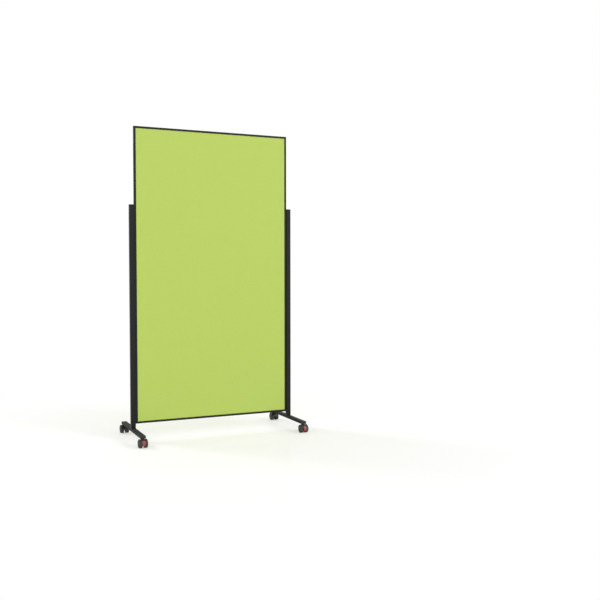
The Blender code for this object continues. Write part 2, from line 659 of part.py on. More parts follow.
def pedal_outline():
    # Both sides of the flap run from its top edge down round the wheels, then round one centre for the toe.
    inner = caster_arc(PEDAL_INNER, PEDAL_HIGH_DEG, PEDAL_LOW_DEG, PEDAL_STEPS)
    outer = caster_arc(PEDAL_OUTER, PEDAL_HIGH_DEG, PEDAL_LOW_DEG, PEDAL_STEPS)
    centre = on_caster(PEDAL_OUTER + PEDAL_TOE_RADIUS, PEDAL_LOW_DEG)
    turn = (PEDAL_LOW_DEG + 180, PEDAL_LOW_DEG + 180 + PEDAL_TOE_TURN_DEG)
    inner += caster_arc(PEDAL_TOE_RADIUS + PEDAL_THICKNESS, *turn, TOE_STEPS, centre)[1:]
    outer += caster_arc(PEDAL_TOE_RADIUS, *turn, TOE_STEPS, centre)[1:]
    return inner + outer[::-1]


def pedal_mesh(material):
    # A curved flap ahead of both wheels, with a toe, an arm into the housing's slot and a cross pin.
    half = PEDAL_WIDTH / 2
    bm = bmesh.new()
    add_prism(bm, pedal_outline(), -half, half, along_x)
    sides = [edge for edge in bm.edges if edge.verts[0].co.x * edge.verts[1].co.x > 0]
    bmesh.ops.bevel(bm, geom=sides, offset=PEDAL_EDGE, segments=1, affect="EDGES")
    flap = to_mesh(bm, "flap", None)
    pivot = on_caster(PEDAL_PIVOT_RADIUS, PEDAL_PIVOT_DEG)
    flap_middle = (PEDAL_INNER + PEDAL_OUTER) / 2
    arm_points = [on_caster(flap_middle, PEDAL_ARM_LOW_DEG), on_caster(flap_middle, PEDAL_ARM_HIGH_DEG)]
    arm_points += arc(pivot, PEDAL_BARREL_RADIUS, 0, 360, PIN_STEPS)[:-1]
    arm_half = PEDAL_ARM_THICKNESS / 2
    bm = bmesh.new()
    for x in (-arm_half, arm_half):
        for y, z in arm_points:
            bm.verts.new((x, y, z))
    bmesh.ops.convex_hull(bm, input=bm.verts)
    bmesh.ops.dissolve_limit(bm, angle_limit=math.radians(1), verts=bm.verts, edges=bm.edges)
    arm = to_mesh(bm, "arm", None)
    pin_half = WEB_HALF - FIT_GAP
    pin = caster_disc(PEDAL_PIN_DIAMETER / 2, -pin_half, pin_half, pivot, PIN_STEPS)
    pedal = combine(flap, [arm, pin], "UNION")
    return dress(moved(pedal, (0, -pivot[0], -pivot[1])), material, True)


def build_casters(materials):
    stem = stem_mesh(materials["steel"])
    nut = stem_nut_mesh(materials["steel"])
    axle = axle_mesh(materials["steel"])
    wheel = wheel_mesh(materials["wheel"])
    housings = {braked: housing_mesh(braked, materials["caster"]) for braked in (False, True)}
    pedal = pedal_mesh(materials["pedal"])
    pivot = on_caster(PEDAL_PIVOT_RADIUS, PEDAL_PIVOT_DEG)
    for column, side in (("left", -1), ("right", 1)):
        for end, way in (("front", -1), ("rear", 1)):
            name = column + "_" + end
            braked = way < 0
            turn = (0, 0, 0 if braked else math.pi)
            stem_place = (side * POST_CENTRE, way * STEM_OFFSET, 0)
            swivel = place_empty(name + "_swivel", None, stem_place, turn)
            place(name + "_caster_stem", stem, swivel)
            place(name + "_stem_nut", nut, swivel, (0, 0, FOOT_UNDERSIDE + FOOT_WALL + FIT_GAP))
            place(name + "_caster_housing", housings[braked], swivel)
            hub = (0, -CASTER_TRAIL, WHEEL_RADIUS)
            place(name + "_axle", axle, swivel, hub)
            for hand, sign in (("left", -1), ("right", 1)):
                out = sign if braked else -sign
                wheel_turn = (0, 0, 0 if out > 0 else math.pi)
                spot = (out * WHEEL_GAP / 2, -CASTER_TRAIL, WHEEL_RADIUS)
                place(name + "_" + hand + "_wheel", wheel, swivel, spot, wheel_turn)
            if braked:
                place(name + "_brake_pedal", pedal, swivel, (0, pivot[0], pivot[1]))


def build():
    clear_scene()
    materials = {
        "felt": make_material("felt_green", (0.50, 0.64, 0.15), 0.95, 0.0),
        "core": make_material("core_board", (0.45, 0.36, 0.24), 0.9, 0.0),
        "frame": make_material("frame_black", (0.028, 0.028, 0.029), 0.45, 0.3),
        "post": make_material("post_black", (0.028, 0.028, 0.029), 0.45, 0.3),
        "foot": make_material("foot_black", (0.035, 0.035, 0.036), 0.45, 0.3),
        "key": make_material("key_black", (0.02, 0.02, 0.02), 0.6, 0.0),
        "plastic": make_material("cap_black", (0.02, 0.02, 0.02), 0.55, 0.0),
        "steel": make_material("steel_dark", (0.25, 0.25, 0.26), 0.35, 1.0),
        "caster": make_material("caster_black", (0.022, 0.022, 0.022), 0.5, 0.0),
        "wheel": make_material("wheel_grey", (0.045, 0.045, 0.046), 0.55, 0.0),
        "pedal": make_material("pedal_red", (0.38, 0.045, 0.045), 0.45, 0.0),
    }
    build_board(materials)
    build_stand(materials)
    build_casters(materials)
    bpy.context.view_layer.update()


build()
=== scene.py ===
import json
import math

import bpy
import numpy as np
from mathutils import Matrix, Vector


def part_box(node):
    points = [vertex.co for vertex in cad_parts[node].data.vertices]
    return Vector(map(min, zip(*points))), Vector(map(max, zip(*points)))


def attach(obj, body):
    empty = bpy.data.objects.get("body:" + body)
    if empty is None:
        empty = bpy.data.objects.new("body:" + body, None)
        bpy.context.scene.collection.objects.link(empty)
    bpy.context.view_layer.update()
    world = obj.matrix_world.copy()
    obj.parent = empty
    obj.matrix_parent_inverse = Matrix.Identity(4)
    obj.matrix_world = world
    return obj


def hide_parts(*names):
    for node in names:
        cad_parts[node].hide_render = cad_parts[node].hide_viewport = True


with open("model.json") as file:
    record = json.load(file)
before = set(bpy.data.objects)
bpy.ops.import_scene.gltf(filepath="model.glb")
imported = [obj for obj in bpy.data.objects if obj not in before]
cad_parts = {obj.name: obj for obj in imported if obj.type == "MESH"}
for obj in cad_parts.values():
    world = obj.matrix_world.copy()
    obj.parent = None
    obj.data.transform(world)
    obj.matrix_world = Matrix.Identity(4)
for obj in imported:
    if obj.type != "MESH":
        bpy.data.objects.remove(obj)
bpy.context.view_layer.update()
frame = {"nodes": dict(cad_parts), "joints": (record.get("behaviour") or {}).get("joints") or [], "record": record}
nodes = frame["nodes"]
jointPlace = {joint["name"]: np.array(joint.get("pos_m", (0, 0, 0))) for joint in frame["joints"]}
nodeSlot = {part["node"]: part["material_slot"] for part in frame["record"]["subparts"]}
sides = ("left", "right")
ends = ("front", "rear")
print("frame loaded,", len(nodes), "nodes")


# Shader groups, built once; every material places them with its own values

def groupTree(name, inputs, outputs):  # an empty node group with these sockets
    tree = bpy.data.node_groups.new(name, "ShaderNodeTree")
    for label, kind in inputs:
        tree.interface.new_socket(label, in_out="INPUT", socket_type="NodeSocket" + kind)
    for label, kind in outputs:
        tree.interface.new_socket(label, in_out="OUTPUT", socket_type="NodeSocket" + kind)
    return tree, tree.nodes.new("NodeGroupInput"), tree.nodes.new("NodeGroupOutput")


def addNode(tree, kind, sockets=None, **settings):  # a node whose sockets get a value or a link
    node = tree.nodes.new("ShaderNode" + kind)
    for name, value in settings.items():
        setattr(node, name, value)
    for key, value in (sockets or {}).items():
        if isinstance(value, bpy.types.NodeSocket):
            tree.links.new(value, node.inputs[key])
        else:
            node.inputs[key].default_value = value
    return node


def addMath(tree, operation, first, second=0.0, clamp=False):  # first, operation, second as one output
    return addNode(tree, "Math", {0: first, 1: second}, operation=operation, use_clamp=clamp).outputs[0]


def addNoise(tree, vector, scale, detail=2.0, rough=0.5):  # noise from 0 to 1 in detail octaves
    sockets = {"Vector": vector, "Scale": scale, "Detail": detail, "Roughness": rough}
    return addNode(tree, "TexNoise", sockets).outputs["Fac"]


def addRange(tree, value, fromRange, toRange=(0.0, 1.0), **settings):  # carries one range over to another
    sockets = {"Value": value, "From Min": fromRange[0], "From Max": fromRange[1], "To Min": toRange[0],
               "To Max": toRange[1]}
    return addNode(tree, "MapRange", sockets, **settings).outputs[0]


def addMix(tree, share, first, second, blend="MIX"):  # the first colour at share 0, the second at share 1
    node = addNode(tree, "Mix", data_type="RGBA", blend_type=blend)  # its colour inputs are 6 and 7
    for socket, value in zip([node.inputs[0], node.inputs[6], node.inputs[7]], [share, first, second]):
        if isinstance(value, bpy.types.NodeSocket):
            tree.links.new(value, socket)
        else:
            socket.default_value = value
    return node.outputs[2]


grain = {"fineDetail": 4.0, "fineRough": 0.6, "broadShare": 0.05, "broadDetail": 3.0}
coat = {"peelDetail": 1.0, "toothShare": 3.5, "toothHeight": 0.4, "speckFrom": 0.68,
        "speckLift": (2.2, 2.2, 2.2, 1.0), "cloudScale": 9.0, "cloudDetail": 3.0, "cloudSpread": 0.16}
dust = {"slopeRange": (0.55, 0.98), "patchScale": 130.0, "patchDetail": 5.0, "patchRough": 0.65,
        "patchRange": (0.1, 0.9), "colour": (0.30, 0.29, 0.27, 1.0), "roughGain": 0.35}


def mouldedGrain():
    # Moulded plastic: height is a fine noise, colour and roughness follow a broad one about their own value.
    inputs = [("Vector", "Vector"), ("Colour", "Color"), ("Shade Spread", "Float"), ("Roughness", "Float"),
              ("Rough Spread", "Float"), ("Grain Scale", "Float")]
    outputs = [("Colour", "Color"), ("Roughness", "Float"), ("Height", "Float")]
    tree, start, end = groupTree("mouldedGrain", inputs, outputs)
    broadScale = addMath(tree, "MULTIPLY", start.outputs["Grain Scale"], grain["broadShare"])
    fine = addNoise(tree, start.outputs["Vector"], start.outputs["Grain Scale"], grain["fineDetail"],
                    grain["fineRough"])
    broad = addNoise(tree, start.outputs["Vector"], broadScale, grain["broadDetail"])
    centred = addMath(tree, "SUBTRACT", broad, 0.5)
    shade = addMath(tree, "MULTIPLY_ADD", centred, start.outputs["Shade Spread"])
    shade.node.inputs[2].default_value = 1.0
    grey = addNode(tree, "CombineColor", {"Red": shade, "Green": shade, "Blue": shade}).outputs[0]
    colour = addMix(tree, 1.0, start.outputs["Colour"], grey, "MULTIPLY")
    rough = addMath(tree, "MULTIPLY_ADD", centred, start.outputs["Rough Spread"])
    tree.links.new(start.outputs["Roughness"], rough.node.inputs[2])
    tree.links.new(colour, end.inputs["Colour"])
    tree.links.new(rough, end.inputs["Roughness"])
    tree.links.new(fine, end.inputs["Height"])
    return tree


def powderCoat():
    # Baked powder: height is the soft peel of the coat plus toothHeight times its fine tooth, whose peaks
    # above speckFrom are tiny paler specks.
    inputs = [("Vector", "Vector"), ("Colour", "Color"), ("Roughness", "Float"), ("Peel Scale", "Float"),
              ("Speck Share", "Float")]
    outputs = [("Colour", "Color"), ("Roughness", "Float"), ("Height", "Float")]
    tree, start, end = groupTree("powderCoat", inputs, outputs)
    toothScale = addMath(tree, "MULTIPLY", start.outputs["Peel Scale"], coat["toothShare"])
    peel = addNoise(tree, start.outputs["Vector"], start.outputs["Peel Scale"], coat["peelDetail"])
    tooth = addNoise(tree, start.outputs["Vector"], toothScale)
    height = addMath(tree, "MULTIPLY_ADD", tooth, coat["toothHeight"])
    tree.links.new(peel, height.node.inputs[2])
    peak = addMath(tree, "GREATER_THAN", tooth, coat["speckFrom"])
    speck = addMath(tree, "MULTIPLY", peak, start.outputs["Speck Share"])
    lighter = addMix(tree, 1.0, start.outputs["Colour"], coat["speckLift"], "MULTIPLY")
    colour = addMix(tree, speck, start.outputs["Colour"], lighter)
    cloud = addNoise(tree, start.outputs["Vector"], coat["cloudScale"], coat["cloudDetail"])
    cloudy = addMath(tree, "SUBTRACT", cloud, 0.5)
    rough = addMath(tree, "MULTIPLY_ADD", cloudy, coat["cloudSpread"])
    tree.links.new(start.outputs["Roughness"], rough.node.inputs[2])
    tree.links.new(colour, end.inputs["Colour"])
    tree.links.new(rough, end.inputs["Roughness"])
    tree.links.new(height, end.inputs["Height"])
    return tree


def settledDust():
    # Dust lies where the normal points up: mask = amount * smooth step of normal z * share of a patchy noise.
    inputs = [("Vector", "Vector"), ("Colour", "Color"), ("Roughness", "Float"), ("Amount", "Float")]
    outputs = [("Colour", "Color"), ("Roughness", "Float")]
    tree, start, end = groupTree("settledDust", inputs, outputs)
    normal = addNode(tree, "NewGeometry").outputs["Normal"]
    upward = addNode(tree, "SeparateXYZ", {0: normal}).outputs["Z"]
    facing = addRange(tree, upward, dust["slopeRange"], interpolation_type="SMOOTHSTEP")
    place = start.outputs["Vector"]
    patchy = addNoise(tree, place, dust["patchScale"], dust["patchDetail"], dust["patchRough"])
    broken = addRange(tree, patchy, dust["patchRange"])
    mask = addMath(tree, "MULTIPLY", addMath(tree, "MULTIPLY", facing, broken), start.outputs["Amount"], True)
    colour = addMix(tree, mask, start.outputs["Colour"], dust["colour"])
    rough = addMath(tree, "MULTIPLY_ADD", mask, dust["roughGain"])
    tree.links.new(start.outputs["Roughness"], rough.node.inputs[2])
    tree.links.new(colour, end.inputs["Colour"])
    tree.links.new(rough, end.inputs["Roughness"])
    return tree


groups = {"grain": mouldedGrain(), "powder": powderCoat(), "dust": settledDust()}
print("shader groups made,", len(groups))


# Materials

def newMaterial(name, **sockets):  # a Principled material; constants go on the shader's own sockets
    material = bpy.data.materials.new(name)
    material.use_nodes = True
    shader = material.node_tree.nodes["Principled BSDF"]
    for key, value in sockets.items():
        shader.inputs[key.replace("_", " ")].default_value = value
    position = addNode(material.node_tree, "TexCoord").outputs["Object"]
    return material, material.node_tree, shader, position


def coatedMaterial(name, look):  # a grain or powder group, then dust, then the shader
    material, tree, shader, position = newMaterial(name, **look["shader"])
    base = addNode(tree, "Group", node_tree=groups[look["group"]])
    for key, value in look["values"].items():
        base.inputs[key].default_value = value
    tree.links.new(position, base.inputs["Vector"])
    dusted = addNode(tree, "Group", node_tree=groups["dust"])
    dusted.inputs["Amount"].default_value = look["dust"]
    tree.links.new(position, dusted.inputs["Vector"])
    tree.links.new(base.outputs["Colour"], dusted.inputs["Colour"])
    tree.links.new(base.outputs["Roughness"], dusted.inputs["Roughness"])
    tree.links.new(dusted.outputs["Colour"], shader.inputs["Base Color"])
    tree.links.new(dusted.outputs["Roughness"], shader.inputs["Roughness"])
    bump = addNode(tree, "Bump", {"Strength": look["bump"], "Distance": look["depth"]})
    tree.links.new(base.outputs["Height"], bump.inputs["Height"])
    tree.links.new(bump.outputs["Normal"], shader.inputs["Normal"])
    return material


powderLook = {
    "group": "powder", "dust": 0.06, "bump": 0.35, "depth": 0.00012,
    "shader": {"Metallic": 0.0, "Specular_IOR_Level": 0.22},
    "values": {"Colour": (0.0088, 0.0089, 0.0083, 1.0), "Roughness": 0.48, "Peel Scale": 900.0,
               "Speck Share": 0.35},
}
footLook = {
    "group": "powder", "dust": 0.10, "bump": 0.35, "depth": 0.00012,
    "shader": {"Metallic": 0.0, "Specular_IOR_Level": 0.06},
    "values": {"Colour": (0.016, 0.016, 0.016, 1.0), "Roughness": 0.55, "Peel Scale": 900.0,
               "Speck Share": 0.35},
}
plugLook = {
    "group": "grain", "dust": 0.16, "bump": 0.45, "depth": 0.0001,
    "shader": {"Metallic": 0.0, "Specular_IOR_Level": 0.4},
    "values": {"Colour": (0.011, 0.011, 0.0115, 1.0), "Shade Spread": 0.5, "Roughness": 0.52,
               "Rough Spread": 0.2, "Grain Scale": 2200.0},
}
nylonLook = {
    "group": "grain", "dust": 0.14, "bump": 0.5, "depth": 0.0001,
    "shader": {"Metallic": 0.0, "Specular_IOR_Level": 0.45},
    "values": {"Colour": (0.012, 0.012, 0.012, 1.0), "Shade Spread": 0.5, "Roughness": 0.44,
               "Rough Spread": 0.22, "Grain Scale": 1800.0},
}
wheelLook = {
    "group": "grain", "dust": 0.10, "bump": 0.4, "depth": 0.0001,
    "shader": {"Metallic": 0.0, "Specular_IOR_Level": 0.4},
    "values": {"Colour": (0.034, 0.034, 0.031, 1.0), "Shade Spread": 0.6, "Roughness": 0.56,
               "Rough Spread": 0.25, "Grain Scale": 1500.0},
}
pedalLook = {
    "group": "grain", "dust": 0.08, "bump": 0.3, "depth": 0.0001,
    "shader": {"Metallic": 0.0, "Specular_IOR_Level": 0.45, "Coat_Weight": 0.08, "Coat_Roughness": 0.3},
    "values": {"Colour": (0.315, 0.048, 0.048, 1.0), "Shade Spread": 0.35, "Roughness": 0.40,
               "Rough Spread": 0.2, "Grain Scale": 1600.0},
}
zincLook = {
    "group": "grain", "dust": 0.05, "bump": 0.25, "depth": 0.00005,
    "shader": {"Metallic": 0.9, "Specular_IOR_Level": 0.5},
    "values": {"Colour": (0.115, 0.113, 0.108, 1.0), "Shade Spread": 0.5, "Roughness": 0.38,
               "Rough Spread": 0.3, "Grain Scale": 2600.0},
}
coreLook = {
    "group": "grain", "dust": 0.0, "bump": 0.8, "depth": 0.0003,
    "shader": {"Metallic": 0.0, "Specular_IOR_Level": 0.2},
    "values": {"Colour": (0.45, 0.36, 0.24, 1.0), "Shade Spread": 0.5, "Roughness": 0.9,
               "Rough Spread": 0.1, "Grain Scale": 700.0},
}


def feltMaterial(look):
    # Needled felt: three noises stretched along different ways stand for the fibres, a fine one for the
    # flecks of body colour between them, and a slow one for the cloudy density of the cloth.
    material, tree, shader, position = newMaterial("feltGreen", **look["shader"])
    layers = []
    for turn in look["fibreTurns"]:
        mapping = addNode(tree, "Mapping", {"Vector": position, "Rotation": (0.0, math.radians(turn), 0.0),
                                            "Scale": look["fibreStretch"]}, vector_type="TEXTURE")
        layers.append(addNoise(tree, mapping.outputs[0], *look["fibreNoise"]))
    fibres = addMath(tree, "MAXIMUM", layers[0], addMath(tree, "MAXIMUM", layers[1], layers[2]))
    flecks = addNoise(tree, position, *look["fleckNoise"])
    cloud = addNoise(tree, position, *look["cloudNoise"])
    fibreShare = addRange(tree, fibres, look["fibreRange"])
    fleckShare = addMath(tree, "MULTIPLY", addRange(tree, flecks, look["fleckRange"]), look["fleckMix"])
    cloudShare = addMath(tree, "MULTIPLY", addRange(tree, cloud, look["cloudRange"]), look["cloudMix"])
    matted = addMix(tree, fibreShare, look["deep"], look["pale"])
    flecked = addMix(tree, fleckShare, matted, look["body"])
    colour = addMix(tree, cloudShare, flecked, look["body"])
    height = addMath(tree, "ADD", fibres, addMath(tree, "MULTIPLY", flecks, look["fleckHeight"]))
    bump = addNode(tree, "Bump", {"Strength": look["bump"], "Distance": look["depth"], "Height": height})
    tree.links.new(colour, shader.inputs["Base Color"])
    tree.links.new(bump.outputs["Normal"], shader.inputs["Normal"])
    rough = addRange(tree, fibres, look["roughFrom"], look["roughTo"])
    tree.links.new(rough, shader.inputs["Roughness"])
    return material


feltLook = {  # each noise is its scale, detail and roughness
    "shader": {"Metallic": 0.0, "Specular_IOR_Level": 0.15, "Sheen_Weight": 0.12, "Sheen_Roughness": 0.5},
    "fibreTurns": (12.0, 70.0, 131.0), "fibreStretch": (1.0, 1.0, 6.0),
    "fibreNoise": (900.0, 3.0, 0.6), "fibreRange": (0.5, 0.75),
    "fleckNoise": (1500.0, 2.0, 0.7), "fleckRange": (0.3, 0.7), "fleckMix": 0.4, "fleckHeight": 0.5,
    "cloudNoise": (16.0, 4.0, 0.55), "cloudRange": (0.25, 0.75), "cloudMix": 0.35,
    "roughFrom": (0.4, 0.8), "roughTo": (0.98, 0.86), "bump": 0.6, "depth": 0.0004,
    "body": (0.486, 0.620, 0.133, 1.0), "deep": (0.428, 0.557, 0.105, 1.0),
    "pale": (0.559, 0.693, 0.188, 1.0),
}

materials = {
    "felt": feltMaterial(feltLook),
    "core": coatedMaterial("fibreBoard", coreLook),
    "frame": coatedMaterial("powderBlackFrame", powderLook),
    "post": coatedMaterial("powderBlackPost", powderLook),
    "foot": coatedMaterial("powderBlackFoot", footLook),
    "key": coatedMaterial("mouldedKey", plugLook),
    "plastic": coatedMaterial("mouldedPlug", plugLook),
    "steel": coatedMaterial("darkZinc", zincLook),
    "caster": coatedMaterial("blackNylon", nylonLook),
    "wheel": coatedMaterial("greyTread", wheelLook),
    "pedal": coatedMaterial("redPedal", pedalLook),
}
for name, node in nodes.items():
    node.data.materials.clear()
    node.data.materials.append(materials[nodeSlot[name]])
print("materials made,", len(materials))


# Surfaces: a shape is a stack of rings, an array of (rings, points round each ring, 3)

def softLine(corners, softness, steps=5, hold=1.35):
    # Rounds the corners of a line. Beside corner P runs (1-s)^2 A + 2s(1-s) P + s^2 B, where A and B lie
    # softness from P towards its neighbours; a further point hold * softness away keeps the flats flat.
    corners = np.asarray(corners, float)
    soft = np.broadcast_to(np.asarray(softness, float), (len(corners),))[:, None, None]
    before = np.roll(corners, 1, axis=0) - corners
    after = np.roll(corners, -1, axis=0) - corners
    before = (before / np.linalg.norm(before, axis=1, keepdims=True))[:, None]
    after = (after / np.linalg.norm(after, axis=1, keepdims=True))[:, None]
    middle = corners[:, None]
    s = np.linspace(0, 1, steps + 1)[None, :, None]
    curve = (1 - s) ** 2 * (middle + before * soft) + 2 * s * (1 - s) * middle
    curve = curve + s * s * (middle + after * soft)
    line = np.concatenate([middle + before * hold * soft, curve, middle + after * hold * soft], axis=1)
    return np.vstack([corners[:1], line[1:-1].reshape(-1, 2), corners[-1:]])


def turnedStack(line, centre, axis, steps, hexShare=0.0):
    # Ring i is centre + place * axis + radius * k(t) * (cos t, sin t), with (place, radius) = line[i].
    # k is 1 on a round ring, and where hexShare is 1 a hexagon's outline, cos 30 / cos(t mod 60 - 30).
    angle = np.linspace(0, 2 * np.pi, steps, endpoint=False)
    along, u, v = np.roll(np.eye(3), -axis, axis=0)
    hexagon = math.cos(math.pi / 6) / np.cos(np.mod(angle, math.pi / 3) - math.pi / 6)
    share = np.broadcast_to(np.asarray(hexShare, float), (len(line),))[:, None]
    radius = line[:, 1:] * (1 - share + share * hexagon)
    direction = np.cos(angle)[:, None] * u + np.sin(angle)[:, None] * v
    return np.asarray(centre) + line[:, :1, None] * along + radius[:, :, None] * direction


def roundedRing(halfWidth, halfHeight, radius, steps):
    # Points round a rectangle: each corner's centre plus radius * (cos t, sin t), quarter by quarter.
    angle = np.linspace(0, np.pi / 2, steps + 1) + np.arange(4)[:, None] * np.pi / 2
    signs = np.array([(1, 1), (-1, 1), (-1, -1), (1, -1)])
    centres = signs * (halfWidth - radius, halfHeight - radius)
    points = centres[:, None] + radius * np.stack([np.cos(angle), np.sin(angle)], axis=-1)
    return points.reshape(-1, 2)


def sweptStack(halfWidth, halfThick, edge, path, outward, narrow=0.0, steps=5, cornerSteps=4,
               cornerShare=0.98):
    # A rounded strip along a path: ring i is path[i] + u * X + w * outward[i] over its section (u, w), whose
    # half width is less by narrow[i]. At both ends the section shrinks by edge * (1 - cos a) and moves on by
    # edge * sin a, and its round corners shrink by cornerShare of that.
    a = np.linspace(0, np.pi / 2, steps + 1)[1:]
    shrink = edge * (1 - np.cos(a))
    run = edge * np.sin(a)
    first = path[0] - path[1]
    last = path[-1] - path[-2]
    first = first / np.linalg.norm(first)
    last = last / np.linalg.norm(last)
    inset = np.concatenate([shrink[::-1], np.zeros(len(path)), shrink])
    places = np.vstack([path[0] + run[::-1, None] * first, path, path[-1] + run[:, None] * last])
    normals = np.vstack([np.repeat(outward[:1], steps, 0), outward, np.repeat(outward[-1:], steps, 0)])
    narrow = np.broadcast_to(np.asarray(narrow, float), (len(path),))
    narrow = np.concatenate([np.repeat(narrow[:1], steps), narrow, np.repeat(narrow[-1:], steps)])
    corner = edge - cornerShare * inset
    sections = np.array([roundedRing(halfWidth - d - less, halfThick - d, radius, cornerSteps)
                         for d, less, radius in zip(inset, narrow, corner)])
    flat = places[:, None] + sections[:, :, 1:] * normals[:, None]
    return np.concatenate([sections[:, :, :1], flat], axis=2)


def splitSides(stack, cuts):  # adds points to the two long sides of each ring, between its round corners
    share = np.linspace(0, 1, cuts + 2)[1:-1, None]
    quarter = stack.shape[1] // 4
    parts = []
    for corner in range(4):
        last = (corner + 1) * quarter
        parts.append(stack[:, corner * quarter:last])
        if corner % 2 == 0:
            parts.append(stack[:, last - 1:last] * (1 - share) + stack[:, last:last + 1] * share)
    return np.concatenate(parts, axis=1)


def plateStack(outline, low, high, edge, steps=4):
    # A flat plate between two X places, its rim rounded: each ring is the outline moved in along its normals
    # by edge * (1 - cos a), at the X place high - edge + edge * sin a, and the same at the low side.
    before = outline - np.roll(outline, 1, axis=0)
    after = np.roll(outline, -1, axis=0) - outline
    tangent = before / np.linalg.norm(before, axis=1, keepdims=True)
    tangent = tangent + after / np.linalg.norm(after, axis=1, keepdims=True)
    inward = np.stack([-tangent[:, 1], tangent[:, 0]], axis=1)
    inward = inward / np.linalg.norm(inward, axis=1, keepdims=True)
    area = np.sum(outline[:, 0] * np.roll(outline[:, 1], -1) - outline[:, 1] * np.roll(outline[:, 0], -1))
    inward = inward * np.sign(area)
    a = np.linspace(0, np.pi / 2, steps + 1)
    inset = edge * (1 - np.cos(a))
    place = edge * np.sin(a) - edge
    insets = np.concatenate([inset[::-1], inset])
    places = np.concatenate([low - place[::-1], high + place])
    flat = outline + insets[:, None, None] * inward
    return np.concatenate([np.broadcast_to(places[:, None, None], flat[:, :, :1].shape), flat], axis=2)


def fanFaces(ring):  # triangles over a closed ring of indices, for the volume's sign only
    return np.stack([np.full(len(ring) - 2, ring[0]), ring[1:-1], ring[2:]], axis=1)


def addPiece(name, stacks, body, slot, stands, sharpAngle=38.0):
    # Quads join each ring to the next and a polygon closes each end. The sum of p0 . (p1 x p2) over the
    # triangles is six times the volume; where it is negative, the stack's faces are turned round.
    points, faces, offset = [], [], 0
    for rings in stacks:
        count, around = rings.shape[:2]
        index = np.arange(count * around).reshape(count, around)
        after = np.roll(index, -1, axis=1)
        quads = np.stack([index[:-1], after[:-1], after[1:], index[1:]], axis=-1).reshape(-1, 4)
        rims = [index[0][::-1], index[-1]]
        triangles = np.concatenate([quads[:, :3], quads[:, [0, 2, 3]], fanFaces(rims[0]), fanFaces(rims[1])])
        flat = rings.reshape(-1, 3)
        corner = (flat - flat.mean(axis=0))[triangles]
        volume = np.einsum("ij,ij->", corner[:, 0], np.cross(corner[:, 1], corner[:, 2]))
        step = -1 if volume < 0 else 1
        faces += (quads[:, ::step] + offset).tolist() + [(rim[::step] + offset).tolist() for rim in rims]
        points.append(flat)
        offset += len(flat)
    mesh = bpy.data.meshes.new(name)
    mesh.from_pydata(np.vstack(points).tolist(), [], faces)
    mesh.shade_smooth()
    mesh.set_sharp_from_angle(angle=math.radians(sharpAngle))
    mesh.materials.append(materials[slot])
    piece = bpy.data.objects.new(name, mesh)
    bpy.context.scene.collection.objects.link(piece)
    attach(piece, body)
    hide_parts(stands)
    return piece


# Felt: a stretched cloth on each side of the core

feltSize = {"cellsWide": 150, "cellsHigh": 270, "swell": 0.00007, "waves": 5.0, "taller": 1.8,
            "rimCount": 12.0, "thickness": 0.0015}


def feltCloth(node, facing):
    # y = face - swell * (1 - cos(waves * 2 pi u) cos(taller * waves * 2 pi v)) / 2 over the sheet. The swell
    # fades to 0 at its hidden rim, within 1 / rimCount of the sheet.
    low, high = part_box(node)
    u = np.linspace(0, 1, feltSize["cellsWide"] + 1)
    v = np.linspace(0, 1, feltSize["cellsHigh"] + 1)
    acrossGrid, upGrid = np.meshgrid(u, v)
    turn = 2 * np.pi * feltSize["waves"]
    wave = np.cos(turn * acrossGrid) * np.cos(turn * feltSize["taller"] * upGrid)
    swell = feltSize["swell"] * (1 - wave) / 2
    nearest = np.minimum(np.minimum(acrossGrid, 1 - acrossGrid), np.minimum(upGrid, 1 - upGrid))
    rim = np.minimum(1, feltSize["rimCount"] * nearest)
    face = high.y if facing > 0 else low.y
    y = face - facing * swell * rim
    points = np.stack([low.x + acrossGrid * (high.x - low.x), y, low.z + upGrid * (high.z - low.z)], axis=-1)
    count = points.shape[:2]
    index = np.arange(count[0] * count[1]).reshape(count)
    quads = np.stack([index[:-1, :-1], index[:-1, 1:], index[1:, 1:], index[1:, :-1]], axis=-1).reshape(-1, 4)
    mesh = bpy.data.meshes.new(node + "_cloth")
    mesh.from_pydata(points.reshape(-1, 3).tolist(), [], quads[:, ::-facing].tolist())
    mesh.shade_smooth()
    mesh.materials.append(materials["felt"])
    cloth = bpy.data.objects.new(node + "_cloth", mesh)
    bpy.context.scene.collection.objects.link(cloth)
    wall = cloth.modifiers.new("thickness", "SOLIDIFY")
    wall.thickness = feltSize["thickness"]
    wall.offset = -1.0
    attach(cloth, "board")
    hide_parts(node)


feltCloth("front_felt", -1)
feltCloth("rear_felt", 1)
print("felt stretched")


# Plugs in the posts and in the foot bars

plug = {"corner": 0.0025, "cornerShare": 0.9, "cornerLeast": 0.0002, "cornerSteps": 5, "edge": 0.0014,
        "edgeSteps": 5, "wall": 0.0023, "seam": 0.0003, "dome": 0.00035, "domeRest": 0.0005, "domeSteps": 5,
        "postPlate": 0.003, "footPlate": 0.004}


